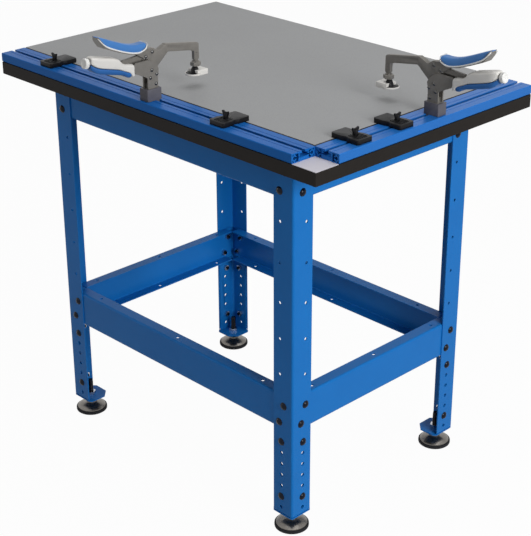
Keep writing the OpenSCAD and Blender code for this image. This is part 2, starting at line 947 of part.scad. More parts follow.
// Lower handle, a moulded shell slotted for the link
module clamp_grip() {
    color(shell_white)
        difference() {
            intersection() {
                across(handle_w)
                    polygon(soft(spots(grip_shares), clamp_soft, 3));
                handle_plan(grip_plan_shares);
            }
            across(2 * ear_in)
                polygon(spots(slot_shares));
            pair(ear_in - free, ear_t + 2 * free)
                polygon(spots(pocket_shares));
            at_knob()
                translate([0, 0, -knob_screw_l - over])
                    cylinder(r = knob_screw_r + running, h = knob_screw_l + over);
        }
}

// Plan of a handle: straight sides that round in at the free end
module handle_plan(ends) {
    a = at([ends[0], 0])[0];
    b = at([ends[1], 0])[0];
    half = handle_w / 2;
    tip = plan_taper_share * half;
    linear_extrude(height = 2 * rise)
        polygon(soft([[a, -half], [a, half], [b, tip], [b, -tip]], handle_w / 3, 5));
}

// Soft pad under the lower handle
module clamp_cushion() {
    upper = spots([for (s = grip_under_shares) s - [0, cushion_gap_share]]);
    color(soft_blue)
        intersection() {
            across(handle_w)
                polygon(soft(concat(spots(cushion_shares), upper), clamp_soft / 2, 3));
            handle_plan(cushion_plan_shares);
        }
}

// The knob's axis, along +Z outward from the link's end, with the knob's middle at the origin
module at_knob() {
    translate([knob_mid[0], 0, knob_mid[1]])
        rotate([0, knob_tilt - 90, 0])
            children();
}

// Ribbed adjusting knob on its screw in the handle's end
module clamp_knob() {
    color(shell_white)
        at_knob() {
            difference() {
                cylinder(d = knob_d, h = knob_t, center = true);
                for (i = [0 : knob_ribs - 1])
                    rotate([0, 0, 360 * i / knob_ribs])
                        translate([knob_d / 2 + free, 0, 0])
                            cylinder(d = knob_d / 9, h = knob_t + over, center = true, $fn = 16);
            }
            translate([0, 0, -knob_screw_l])
                cylinder(r = knob_screw_r, h = knob_screw_l);
        }
}

// Arm with recessed sides, its root between the side plates
module clamp_arm() {
    path = spots(arm_path_shares);
    bar = strip(path, arm_d);
    groove = [path[1], path[2], path[3] + [0, arm_d / 3]];
    color(clamp_grey)
        difference() {
            union() {
                across(arm_w)
                    polygon(soft(bar, arm_d / 2, 4));
                across(arm_w)
                    polygon(soft(concat([bar[1]], spots(arm_root_shares), [bar[6]]), arm_d / 3, 4));
            }
            rod(arm_pivot, pin_r + running, arm_w + over);
            rod(lever_pivot, pin_r + running, arm_w + over);
            translate([ball[0], 0, path[3][1] - over])
                cylinder(r = spindle_r + running, h = arm_d + 2 * over);
            for (s = [-1, 1])
                translate([0, s * arm_w / 2, 0])
                    across(arm_w / 4)
                        polygon(soft(strip(groove, arm_groove_share * arm_d), arm_d / 6, 3));
        }
}

// Upper handle: a steel tray on two ears, with the pins of the arm and the link
module clamp_lever() {
    color(clamp_grey) {
        intersection() {
            across(handle_w)
                polygon(strip(spots(tray_shares), tray_t));
            handle_plan(tray_plan_shares);
        }
        pair(ear_in, ear_t)
            polygon(soft(spots(ear_shares), clamp_soft, 3));
        rod(lever_pivot, pin_r, 2 * (ear_in + ear_t));
        rod(link_pivot, pin_r, 2 * (ear_in + ear_t));
        rivet(lever_pivot);
        rivet(link_pivot);
    }
}

// Soft pad on the upper handle
module clamp_palm() {
    tray = spots(tray_shares);
    under = [for (i = [0 : len(tray) - 1]) tray[i] - mitre(tray, i, tray_t + 2 * free)];
    color(soft_blue)
        intersection() {
            across(handle_w - 2 * palm_in)
                polygon(concat([for (i = [1 : 6]) under[i]], spots(crown_shares)));
            handle_plan(palm_plan_shares);
        }
}

link_w = 5.2;
link_r = 4.6;

// Bar from the lever to the screw in the grip, whose end pivot is left open
module clamp_link() {
    run = unit(link_end - link_pivot);
    side = link_r * [-run[1], run[0]];
    color(clamp_grey)
        difference() {
            union() {
                rod(link_pivot, link_r, link_w);
                rod(link_end, link_end_r_share * link_r, link_w);
                across(link_w)
                    polygon([
                        link_pivot + side, link_end + link_end_r_share * side,
                        link_end - link_end_r_share * side, link_pivot - side
                    ]);
            }
            rod(link_pivot, pin_r + running, link_w + over);
        }
}

spindle_r = 3.6;
ball_r = 5;
hex_d = 14;

// Stem in the arm's end, a hex collar and the ball that carries the pad
module clamp_spindle() {
    low = at(arm_path_shares[3])[1];
    color(clamp_grey)
        translate([ball[0], 0, 0]) {
            translate([0, 0, low - free - hex_h])
                cylinder(d = hex_d, h = hex_h, $fn = 6);
            translate([0, 0, ball[1]])
                cylinder(r = stem_share * spindle_r, h = low - ball[1]);
            translate([0, 0, low - free - running])
                cylinder(r = spindle_r, h = arm_d);
            translate([0, 0, ball[1]])
                sphere(r = ball_r);
        }
}

// Pad: a block to the front and a dished half disc behind it, with the socket for the ball
module clamp_pad() {
    low = ball[1] - pad_drop_share * pad_h;
    front = at([pad_front_share, 0])[0];
    dish = pad_w / 2;
    dish_r = dish_r_share * pad_w;
    color(shell_white)
        difference() {
            union() {
                translate([ball[0] - dish / 4, -pad_w / 2, low])
                    cube([front - ball[0] + dish / 4, pad_w, pad_h]);
                translate([ball[0] - dish / 4, 0, low])
                    cylinder(r = dish, h = pad_h);
            }
            translate([ball[0] - dish / 4, 0, ball[1] - dish_floor_share * ball_r])
                cylinder(r1 = dish_cone_share * dish_r, r2 = dish_r, h = low + pad_h - ball[1] + ball_r);
            translate([ball[0], 0, ball[1]])
                sphere(r = ball_r + running);
        }
}

module front_clamp() {
    on_front(clamp_a_x) children();
}

module side_clamp() {
    on_side_track(clamp_b_y) children();
}

leg(front_left);  // leg_front_left
leg(front_right);  // leg_front_right
leg(back_left);  // leg_back_left
leg(back_right);  // leg_back_right
rail(0, apron_z);  // front_apron
rail(2, apron_z);  // back_apron
rail(3, apron_z);  // left_apron
rail(1, apron_z);  // right_apron
rail(0, rail_z);  // front_rail
rail(2, rail_z);  // back_rail
rail(3, rail_z);  // left_rail
rail(1, rail_z);  // right_rail
foot_brackets();
frame_bolts();
frame_nuts();
top_screws();
base_board();
work_board();
front_track();
side_track();
corner_plate();
track_screws();
foot(front_left);  // foot_front_left
foot(front_right);  // foot_front_right
foot(back_left);  // foot_back_left
foot(back_right);  // foot_back_right
stud(front_left);  // stud_front_left
stud(front_right);  // stud_front_right
stud(back_left);  // stud_back_left
stud(back_right);  // stud_back_right
on_front(stop_a_x) stop();  // stop_front_left
on_front(stop_b_x) stop();  // stop_front_right
on_side_track(stop_c_y) stop();  // stop_side_front
on_side_track(stop_d_y) stop();  // stop_side_back
on_front(stop_a_x) thumb();  // thumb_front_left
on_front(stop_b_x) thumb();  // thumb_front_right
on_side_track(stop_c_y) thumb();  // thumb_side_front
on_side_track(stop_d_y) thumb();  // thumb_side_back
front_clamp() clamp_foot();  // front_clamp_foot
front_clamp() clamp_body();  // front_clamp_body
front_clamp() clamp_grip();  // front_clamp_grip
front_clamp() clamp_cushion();  // front_clamp_cushion
front_clamp() clamp_knob();  // front_clamp_knob
front_clamp() clamp_arm();  // front_clamp_arm
front_clamp() clamp_lever();  // front_clamp_lever
front_clamp() clamp_palm();  // front_clamp_palm
front_clamp() clamp_link();  // front_clamp_link
front_clamp() clamp_spindle();  // front_clamp_spindle
front_clamp() clamp_pad();  // front_clamp_pad
side_clamp() clamp_foot();  // side_clamp_foot
side_clamp() clamp_body();  // side_clamp_body
side_clamp() clamp_grip();  // side_clamp_grip
side_clamp() clamp_cushion();  // side_clamp_cushion
side_clamp() clamp_knob();  // side_clamp_knob
side_clamp() clamp_arm();  // side_clamp_arm
side_clamp() clamp_lever();  // side_clamp_lever
side_clamp() clamp_palm();  // side_clamp_palm
side_clamp() clamp_link();  // side_clamp_link
side_clamp() clamp_spindle();  // side_clamp_spindle
side_clamp() clamp_pad();  // side_clamp_pad
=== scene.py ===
"""Looks of the clamping work table: finishes, moulded and soft pieces, floor, lights and camera."""

import logging
import math
from dataclasses import dataclass, field
from enum import Enum
from typing import Callable, Iterable, Optional, Sequence

import bmesh
import bpy
from mathutils import Matrix, Vector


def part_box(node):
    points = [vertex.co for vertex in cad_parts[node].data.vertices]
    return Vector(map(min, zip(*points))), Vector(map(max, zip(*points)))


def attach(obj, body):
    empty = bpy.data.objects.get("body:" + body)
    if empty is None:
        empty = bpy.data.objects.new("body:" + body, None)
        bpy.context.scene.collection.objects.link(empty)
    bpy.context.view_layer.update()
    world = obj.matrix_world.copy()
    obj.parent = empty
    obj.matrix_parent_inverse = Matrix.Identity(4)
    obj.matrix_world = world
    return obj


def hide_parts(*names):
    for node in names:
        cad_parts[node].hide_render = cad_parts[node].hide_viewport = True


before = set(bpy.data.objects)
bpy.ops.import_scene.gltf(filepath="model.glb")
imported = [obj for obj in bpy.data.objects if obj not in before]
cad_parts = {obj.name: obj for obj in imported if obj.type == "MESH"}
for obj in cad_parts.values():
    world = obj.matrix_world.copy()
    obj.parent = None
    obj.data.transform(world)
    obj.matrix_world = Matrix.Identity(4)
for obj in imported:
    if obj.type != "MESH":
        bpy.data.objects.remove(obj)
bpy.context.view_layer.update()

MM = 0.001
TOP_Z = 0.839  # the top's surface above the floor, in metres
ALONG_AXIS = 0.9  # cosine beyond which a face counts as facing along an axis
STRAIGHT = 0.99  # the same for the run of an edge
MERGE_MM = 0.001  # corners closer than this become one
FLAT_ANGLE = 1.0  # degrees; flatter joints between CAD triangles are dissolved
SMOOTH_ANGLE = 35.0  # degrees; sharper edges stay sharp
DOME_ANGLE = 8.0  # degrees; keeps wide flat faces even beside shallow rivet heads
TURNED_SIDES = 64
LOFT_SEGMENTS = 4
SMOOTH_LEVELS = 2
log = logging.getLogger("work_table")

# Socket numbers of the nodes that have several sockets of one name
MIX_FACTOR, MIX_A, MIX_B, MIX_RESULT = 0, 6, 7, 2
FROM_MIN, FROM_MAX, TO_MIN, TO_MAX = 1, 2, 3, 4


# Materials


class Grain(Enum):
    """Which way a surface's fine pattern runs; the values stretch the pattern's coordinates."""

    EVEN = (1.0, 1.0, 1.0)
    ALONG_X = (0.02, 1.0, 1.0)
    ALONG_Y = (1.0, 0.02, 1.0)
    FLAT = (1.0, 1.0, 0.3)


def linear(colour: str) -> tuple[float, float, float, float]:
    """Turns an sRGB hex colour into linear light.

    Args:
        colour: the colour as "#RRGGBB".

    Returns:
        Red, green, blue and an alpha of 1.
    """
    parts = [int(colour[i : i + 2], 16) / 255 for i in (1, 3, 5)]
    light = [c / 12.92 if c <= 0.04045 else ((c + 0.055) / 1.055) ** 2.4 for c in parts]
    return (light[0], light[1], light[2], 1.0)


def add_node(
    tree: bpy.types.NodeTree,
    kind: str,
    settings: Optional[dict] = None,
    links: Optional[dict] = None,
) -> bpy.types.Node:
    """Adds one shader node with its settings and its links.

    Args:
        tree: the node tree that it goes into.
        kind: the node's type name.
        settings: values by property name, or by input name or number.
        links: output sockets by input name or number.

    Returns:
        The new node.
    """
    node = tree.nodes.new(kind)
    for key, value in (settings or {}).items():
        if isinstance(key, str) and key in node.bl_rna.properties:
            setattr(node, key, value)
        else:
            node.inputs[key].default_value = value
    for key, source in (links or {}).items():
        tree.links.new(source, node.inputs[key])
    return node


@dataclass(frozen=True)
class Finish:
    """A surface: its colours, its gloss, and the size and strength of its fine pattern."""

    name: str
    colour: str
    shade: str
    roughness: float
    metallic: float = 0.0
    ior: float = 1.5
    specular: float = 0.5
    sheen: float = 0.0
    grain: Grain = Grain.EVEN
    grain_mm: float = 1.0
    bump: float = 0.1
    bump_mm: float = 0.2
    patch_mm: float = 60.0
    spread: float = 0.08

    def material(self) -> bpy.types.Material:
        """Builds the material, once for each finish.

        Returns:
            The finish's material.
        """
        made = bpy.data.materials.get(self.name)
        if made:
            return made
        made = bpy.data.materials.new(self.name)
        made.use_nodes = True
        tree = made.node_tree
        shader = tree.nodes["Principled BSDF"]
        shader.inputs["Metallic"].default_value = self.metallic
        if not self.metallic:
            shader.inputs["IOR"].default_value = self.ior
        shader.inputs["Specular IOR Level"].default_value = self.specular
        shader.inputs["Sheen Weight"].default_value = self.sheen
        self.dress(tree, shader)
        return made

    def dress(self, tree: bpy.types.NodeTree, shader: bpy.types.Node) -> None:
        """Adds colour patches, uneven gloss and a fine bump.

        Args:
            tree: the material's node tree.
            shader: its Principled shader.
        """
        place = add_node(tree, "ShaderNodeTexCoord").outputs["Object"]
        patches = add_node(
            tree,
            "ShaderNodeTexNoise",
            {"Scale": 1 / (self.patch_mm * MM), "Detail": 4.0, "Roughness": 0.6},
            {"Vector": place},
        )
        colour = self.colours(tree, place, patches.outputs["Fac"])
        tree.links.new(colour, shader.inputs["Base Color"])
        run = add_node(
            tree, "ShaderNodeMapping", {"Scale": self.grain.value}, {"Vector": place}
        )
        fine = add_node(
            tree,
            "ShaderNodeTexNoise",
            {"Scale": 1 / (self.grain_mm * MM), "Detail": 3.0, "Roughness": 0.55},
            {"Vector": run.outputs["Vector"]},
        )
        gloss = add_node(
            tree,
            "ShaderNodeMapRange",
            {TO_MIN: self.roughness - self.spread, TO_MAX: self.roughness + self.spread},
            {"Value": fine.outputs["Fac"]},
        )
        tree.links.new(gloss.outputs["Result"], shader.inputs["Roughness"])
        relief = add_node(
            tree,
            "ShaderNodeBump",
            {"Strength": self.bump, "Distance": self.bump_mm * MM},
            {"Height": fine.outputs["Fac"]},
        )
        tree.links.new(relief.outputs["Normal"], shader.inputs["Normal"])

    def colours(
        self,
        tree: bpy.types.NodeTree,
        place: bpy.types.NodeSocket,
        patches: bpy.types.NodeSocket,
    ) -> bpy.types.NodeSocket:
        """Mixes the two colours by the soft patches.

        Args:
            tree: the material's node tree.
            place: object coordinates; not used here.
            patches: a soft noise from 0 to 1.

        Returns:
            The colour's socket.
        """
        mixed = add_node(
            tree,
            "ShaderNodeMix",
            {"data_type": "RGBA", MIX_A: linear(self.shade), MIX_B: linear(self.colour)},
            {MIX_FACTOR: patches},
        )
        return mixed.outputs[MIX_RESULT]


@dataclass(frozen=True)
class FacedBoardWithSeamShade(Finish):
    """A board with a flecked hard face on top, painted near black on its upright and chamfered
    faces as painted shade.

    The painted shade stands for the shadow in the seams beside the tracks; it shows where the
    normal's upward part is below tilted, the face where it is above level.
    """

    # Near-black painted shade for the seams beside the tracks
    edge: str = "#0D0D11"
    fleck: str = "#7E7F80"
    fleck_mm: float = 1.6
    tilted: float = 0.75
    level: float = 0.9

    def colours(
        self,
        tree: bpy.types.NodeTree,
        place: bpy.types.NodeSocket,
        patches: bpy.types.NodeSocket,
    ) -> bpy.types.NodeSocket:
        """Flecks the face and paints the upright and chamfered sides near black as painted seam
        shade.

        Args:
            tree: the material's node tree.
            place: object coordinates.
            patches: a soft noise from 0 to 1.

        Returns:
            The colour's socket.
        """
        face = super().colours(tree, place, patches)
        specks = add_node(
            tree,
            "ShaderNodeTexNoise",
            {"Scale": 1 / (self.fleck_mm * MM), "Detail": 2.0},
            {"Vector": place},
        )
        few = add_node(
            tree,
            "ShaderNodeMapRange",
            {FROM_MIN: 0.5, FROM_MAX: 0.75, TO_MAX: 0.5},
            {"Value": specks.outputs["Fac"]},
        )
        flecked = add_node(
            tree,
            "ShaderNodeMix",
            {"data_type": "RGBA", MIX_B: linear(self.fleck)},
            {MIX_FACTOR: few.outputs["Result"], MIX_A: face},
        )
        facing = add_node(tree, "ShaderNodeNewGeometry").outputs["Normal"]
        upward = add_node(tree, "ShaderNodeSeparateXYZ", links={"Vector": facing})
        level = add_node(
            tree,
            "ShaderNodeMapRange",
            {FROM_MIN: self.tilted, FROM_MAX: self.level},
            {"Value": upward.outputs["Z"]},
        )
        # Painted shade: upright and chamfered faces turn near black, for the seams beside the
        # tracks
        whole = add_node(
            tree,
            "ShaderNodeMix",
            {"data_type": "RGBA", MIX_A: linear(self.edge)},
            {MIX_FACTOR: level.outputs["Result"], MIX_B: flecked.outputs[MIX_RESULT]},
        )
        return whole.outputs[MIX_RESULT]


# Folded sheet steel in gloss powder coat: a faint orange peel and a soft clear gloss
POWDER_COAT = Finish(
    "steel_powder_coated", "#1775C4", "#136AB6", 0.36, specular=0.12,
    grain_mm=1.4, bump=0.12, patch_mm=120,
)
# Extruded aluminium, blue anodised, lines along the bar; the front track's copy has painted shade
TRACK_X_PAINTED_SHADE = Finish(
    "aluminium_anodised_along_x_painted_shade", "#1A66B4", "#165EAA", 0.32, metallic=0.1, specular=0.05,
    grain=Grain.ALONG_X, grain_mm=0.9, bump=0.6, patch_mm=200,
)
# The side track's copy of the same anodising, painted a little lighter as painted light
TRACK_Y_PAINTED_LIGHT = Finish(
    "aluminium_anodised_along_y_painted_light", "#226CBC", "#1F66B2", 0.32, metallic=0.15, specular=0.12,
    grain=Grain.ALONG_Y, grain_mm=0.9, bump=0.6, patch_mm=200,
)
# Fibreboard with a pressed grey laminate: matt, faintly flecked, painted seam shade on its edges
WORK_FACE = FacedBoardWithSeamShade(
    "laminate_pressed", "#98999A", "#919293", 0.5, specular=0.3,
    grain_mm=1.2, bump=0.08, patch_mm=160,
)
# Sealed dark fibreboard: almost black, with short fibres showing along the sawn edge
BOARD = Finish(
    "fibreboard_sealed", "#1F1B18", "#14110F", 0.62, specular=0.12,
    grain=Grain.FLAT, grain_mm=1.5, bump=0.35, patch_mm=25,
)
# Zinc-plated steel: bright, slightly cloudy
ZINC = Finish(
    "steel_zinc_plated", "#CDD0D4", "#B4B8BE", 0.24, metallic=1.0, grain_mm=0.8, patch_mm=9
)
# Spun steel cups under the levelling studs: darker plate with cloudy patches
SPUN = Finish(
    "steel_spun_plated", "#8F8B86", "#55524E", 0.3, metallic=1.0,
    grain_mm=0.8, bump=0.15, patch_mm=16,
)
# Steel bolts in black oxide and oil: near black with a clear highlight
BLACK_OXIDE = Finish(
    "steel_black_oxide", "#0D1122", "#080B16", 0.17, specular=0.14,
    grain_mm=0.5, bump=0.04, patch_mm=6, spread=0.04,
)
# Moulded rubber: dull, near black and slightly dusty
RUBBER = Finish(
    "rubber_moulded", "#1C1C1F", "#262629", 0.78, specular=0.2,
    grain_mm=0.8, bump=0.3, patch_mm=12,
)
# Glass-filled nylon with a spark-eroded mould texture: near black, a low shine
NYLON = Finish(
    "nylon_moulded", "#121214", "#0B0B0D", 0.42, specular=0.14,
    grain_mm=0.6, bump=0.35, patch_mm=20,
)
# Forged and phosphated clamp steel: a warm grey with a cloudy satin shine
FORGED = Finish(
    "steel_phosphated", "#7F7C77", "#6C6964", 0.42, metallic=0.12, specular=0.25,
    grain_mm=0.7, bump=0.2, patch_mm=11,
)
# Blued foot blocks, colder than the forgings, with little shine
BLUED = Finish(
    "steel_blued", "#626168", "#4F4E54", 0.45, specular=0.12,
    grain_mm=0.7, bump=0.15, patch_mm=14,
)
# Dark oiled rivet heads: a small bright glint on a near-black dome
RIVET = Finish(
    "steel_rivet_oiled", "#262420", "#1C1B18", 0.26, specular=0.9,
    grain_mm=0.5, bump=0.05, patch_mm=3, spread=0.05,
)
# Moulded ABS, warm white, with a fine even texture
ABS_WHITE = Finish(
    "abs_moulded", "#E2E2E0", "#D8D8D6", 0.36, ior=1.54, grain_mm=0.7, bump=0.1, patch_mm=30
)
# The same plastic a little duller, for the lower handles and the pads
ABS_DULL = Finish(
    "abs_moulded_dull", "#D8D6D1", "#CCCAC6", 0.42, specular=0.35,
    grain_mm=0.7, bump=0.1, patch_mm=30,
)
# Soft overmoulded elastomer: a mild blue with a powdery, stippled skin
SOFT_BLUE = Finish(
    "elastomer_overmoulded", "#3A74B4", "#3069A8", 0.55, specular=0.35, sheen=0.12,
    grain_mm=0.8, bump=0.3, patch_mm=25,
)
# The same skin painted a deeper blue as painted shade, under the lower handles
SOFT_BLUE_PAINTED_SHADE = Finish(
    "elastomer_overmoulded_painted_shade", "#2860A2", "#225896", 0.55, specular=0.25, sheen=0.05,
    grain_mm=0.8, bump=0.3, patch_mm=25,
)
# Bare satin plate: pale, with a lilac cast
PLATE = Finish(
    "plate_satin_painted", "#CFCCD3", "#C5C2CA", 0.45, specular=0.3,
    grain_mm=1.0, bump=0.05, patch_mm=30,
)


# Shaping


class Pick(Enum):
    """What a selection takes."""

    FACE = "FACE"
    EDGE = "EDGE"


class Piece:
    """A mesh shaped with Blender's edit operators; every size is in millimetres."""

    def __init__(self, name: str) -> None:
        """Takes over the primitive that was just added.

        Args:
            name: the piece's name.
        """
        self.obj = bpy.context.object
        self.obj.name = self.obj.data.name = name
        bpy.ops.object.transform_apply(location=True, rotation=True, scale=True)

    @classmethod
    def block(cls, name: str, low: Sequence[float], high: Sequence[float]) -> "Piece":
        """Starts from a cube between two corners.

        Args:
            name: the piece's name.
            low: its lowest corner.
            high: its highest corner.

        Returns:
            The piece.
        """
        leave_edit()
        middle = [(a + b) / 2 * MM for a, b in zip(low, high)]
        size = [(b - a) * MM for a, b in zip(low, high)]
        bpy.ops.mesh.primitive_cube_add(size=1, location=middle, scale=size)
        return cls(name)

    @classmethod
    def turned(
        cls, name: str, profile: Sequence[tuple[float, float]], sides: int = TURNED_SIDES
    ) -> "Piece":
        """Turns a profile about the Z axis by extruding and resizing the end of a cylinder.

        Args:
            name: the piece's name.
            profile: radius and height of each ring, from the bottom up.
            sides: number of flat sides.

        Returns:
            The piece.
        """
        leave_edit()
        (r0, z0), (r1, z1) = profile[:2]
        bpy.ops.mesh.primitive_cylinder_add(
            vertices=sides, radius=r0 * MM, depth=(z1 - z0) * MM,
            location=(0, 0, (z0 + z1) / 2 * MM),
        )
        piece = cls(name)
        piece.pick(Pick.FACE, lambda middle, normal: normal.z > ALONG_AXIS)
        piece.resize((r1 / r0, r1 / r0, 1), (0, 0, z1))
        for (r_old, z_old), (r, z) in zip(profile[1:], profile[2:]):
            piece.extrude((0, 0, z - z_old))
            piece.resize((r / r_old, r / r_old, 1), (0, 0, z))
        return piece

    @classmethod
    def from_node(cls, name: str, node: str, merge_mm: float = 0.002) -> "Piece":
        """Starts from a copy of a CAD node, with its loose triangles joined into flat faces.

        Args:
            name: the piece's name.
            node: the CAD node.
            merge_mm: how close two corners are before they become one.

        Returns:
            The piece.
        """
        leave_edit()
        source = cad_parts[node]
        copy = bpy.data.objects.new(name, source.data.copy())
        bpy.context.scene.collection.objects.link(copy)
        bpy.context.view_layer.objects.active = copy
        copy.select_set(True)
        piece = cls(name)
        piece.pick(Pick.FACE, lambda middle, normal: True)
        bpy.ops.mesh.remove_doubles(threshold=merge_mm * MM)
        bpy.ops.mesh.dissolve_limited(angle_limit=math.radians(FLAT_ANGLE))
        return piece

    def pick(self, kind: Pick, test: Callable[[Vector, Vector], bool]) -> None:
        """Selects faces or edges by their middle and their normal or direction.

        Args:
            kind: faces or edges.
            test: says whether one is wanted, from its middle in millimetres and its unit
                normal, or the unit direction of an edge.
        """
        bpy.context.view_layer.objects.active = self.obj
        bpy.ops.object.mode_set(mode="EDIT")
        bpy.ops.mesh.select_mode(type=kind.value)
        bpy.ops.mesh.select_all(action="DESELECT")
        mesh = bmesh.from_edit_mesh(self.obj.data)
        for item in mesh.faces if kind is Pick.FACE else mesh.edges:
            if kind is Pick.FACE:
                middle, way = item.calc_center_median(), item.normal
            else:
                a, b = (v.co for v in item.verts)
                middle, way = (a + b) / 2, (b - a).normalized()
            item.select_set(bool(test(middle / MM, way)))
        mesh.select_flush_mode()
        bmesh.update_edit_mesh(self.obj.data)

    def extrude(self, step: Sequence[float]) -> None:
        """Extrudes the selected faces.

        Args:
            step: how far they go along each axis.
        """
        bpy.ops.mesh.extrude_region_move(
            TRANSFORM_OT_translate={"value": [c * MM for c in step]}
        )

    def resize(self, scale: Sequence[float], centre: Sequence[float]) -> None:
        """Scales what is selected.

        Args:
            scale: the factor along each axis.
            centre: the point that stays in place.
        """
        bpy.ops.transform.resize(value=scale, center_override=[c * MM for c in centre])

    def bevel(self, width: float, segments: int) -> None:
        """Bevels the selected edges.

        Args:
            width: how far the bevel reaches from the edge.
            segments: number of flats across it.
        """
        bpy.ops.mesh.bevel(
            offset=width * MM, segments=segments, affect="EDGES", clamp_overlap=True
        )

    def inset(self, width: float) -> None:
        """Insets the selected faces.

        Args:
            width: the width of the ring that this leaves.
        """
        bpy.ops.mesh.inset(thickness=width * MM, depth=0)

    def modify(self, kind: str, **settings: object) -> None:
        """Adds a modifier and applies it.

        Args:
            kind: the modifier's type.
            **settings: its properties.
        """
        leave_edit()
        self.activate()
        modifier = self.obj.modifiers.new(kind.lower(), kind)
        for key, value in settings.items():
            setattr(modifier, key, value)
        bpy.ops.object.modifier_apply(modifier=modifier.name)

    def round_edges(self, width: float, segments: int = 2) -> None:
        """Rounds every sharp edge.

        Args:
            width: how far the rounding reaches from the edge.
            segments: number of flats across it.
        """
        self.modify(
            "BEVEL", width=width * MM, segments=segments, limit_method="ANGLE",
            angle_limit=math.radians(SMOOTH_ANGLE), use_clamp_overlap=True,
            harden_normals=False,
        )

    def smooth(self) -> None:
        """Subdivides the whole surface into a smooth one and closes it."""
        self.modify("SUBSURF", levels=SMOOTH_LEVELS, render_levels=SMOOTH_LEVELS)
        self.close()

    def activate(self) -> None:
        """Makes this the one selected and active object."""
        bpy.ops.object.select_all(action="DESELECT")
        self.obj.select_set(True)
        bpy.context.view_layer.objects.active = self.obj

    def cut(self, tool: "Piece", operation: str = "DIFFERENCE") -> None:
        """Cuts another piece's shape out of this one, or adds it, and removes that piece.

        Args:
            tool: the other piece.
            operation: DIFFERENCE cuts it out and UNION adds it.
        """
        self.modify("BOOLEAN", operation=operation, object=tool.obj, solver="EXACT")
        bpy.data.objects.remove(tool.obj)

    def join(self, others: Iterable["Piece"]) -> None:
        """Takes other pieces' meshes into this one, as they are.

        Args:
            others: the pieces to take in.
        """
        leave_edit()
        self.activate()
        for other in others:
            other.obj.select_set(True)
        bpy.ops.object.join()

    def move(self, place: Matrix) -> None:
        """Moves the whole mesh.

        Args:
            place: the matrix that it is moved by.
        """
        leave_edit()
        self.obj.data.transform(place)

    def close(self, angle: float = SMOOTH_ANGLE) -> None:
        """Joins doubles, turns the faces outwards and smooths the shading.

        Args:
            angle: edges sharper than this stay sharp, in degrees.
        """
        self.pick(Pick.FACE, lambda middle, normal: True)
        bpy.ops.mesh.remove_doubles(threshold=MERGE_MM * MM)
        bpy.ops.mesh.normals_make_consistent(inside=False)
        leave_edit()
        self.activate()
        bpy.ops.object.shade_smooth_by_angle(angle=math.radians(angle))

    def copy(self, name: str, place: Matrix) -> "Piece":
        """Makes a copy with its own mesh at another place.

        Args:
            name: the copy's name.
            place: the matrix that its mesh is moved by.

        Returns:
            The copy.
        """
        leave_edit()
        twin = self.obj.copy()
        twin.data = self.obj.data.copy()
        bpy.context.scene.collection.objects.link(twin)
        twin.name = twin.data.name = name
        twin.data.transform(place)
        made = Piece.__new__(Piece)
        made.obj = twin
        return made

    def drop(self) -> None:
        """Removes a pattern that was only there to be copied."""
        leave_edit()
        bpy.data.objects.remove(self.obj)

    def dress(
        self, finish: Finish, body: str, slot: str, stands_for: Iterable[str] = ()
    ) -> bpy.types.Object:
        """Gives the piece its finish and its body.

        Args:
            finish: its surface.
            body: the CAD body that it moves with.
            slot: the record's material slot; not used.
            stands_for: CAD nodes that it replaces.

        Returns:
            The Blender object.
        """
        self.obj.data.materials.clear()
        self.obj.data.materials.append(finish.material())
        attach(self.obj, body)
        if stands_for:
            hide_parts(*stands_for)
        log.info("%s: %d faces, rides on %s", self.obj.name, len(self.obj.data.polygons), body)
        return self.obj


def leave_edit() -> None:
    """Goes back to object mode with nothing selected."""
    if bpy.context.object and bpy.context.object.mode != "OBJECT":
        bpy.ops.object.mode_set(mode="OBJECT")
    bpy.ops.object.select_all(action="DESELECT")


@dataclass(frozen=True)
class Section:
    """A cross-section of a handle: how far out it is, its bottom, top and half width."""

    out: float
    low: float
    high: float
    half: float


def lofted(
    name: str,
    sections: Sequence[Section],
    top_round: float,
    low_round: float,
    end_inset: float = 1.6,
) -> Piece:
    """Draws a rounded section out along -X through a row of sections.

    Args:
        name: the piece's name.
        sections: the sections from the inner end outwards.
        top_round: radius of the two upper long edges at the first section.
        low_round: radius of the two lower ones.
        end_inset: ring that keeps each end's face firm.

    Returns:
        The piece, smooth along its length.
    """
    first, second = sections[:2]
    piece = Piece.block(
        name, (second.out, -first.half, first.low), (first.out, first.half, first.high)
    )
    middle = (first.low + first.high) / 2
    for above, radius in ((True, top_round), (False, low_round)):
        piece.pick(Pick.EDGE, lambda m, way: abs(way.x) > STRAIGHT and (m.z > middle) == above)
        piece.bevel(radius, LOFT_SEGMENTS)
    piece.pick(Pick.FACE, lambda m, normal: normal.x < -ALONG_AXIS)
    for old, new in zip([first, *sections[1:]], sections[1:]):
        if new is not second:
            piece.extrude((new.out - old.out, 0, 0))
        shift = (new.low + new.high - old.low - old.high) / 2
        bpy.ops.transform.translate(value=(0, 0, shift * MM))
        scale = (1, new.half / old.half, (new.high - new.low) / (old.high - old.low))
        piece.resize(scale, (new.out, 0, (new.low + new.high) / 2))
    piece.inset(end_inset)
    piece.pick(Pick.FACE, lambda m, normal: normal.x > ALONG_AXIS)
    piece.inset(end_inset)
    piece.smooth()
    return piece


# The table's pieces


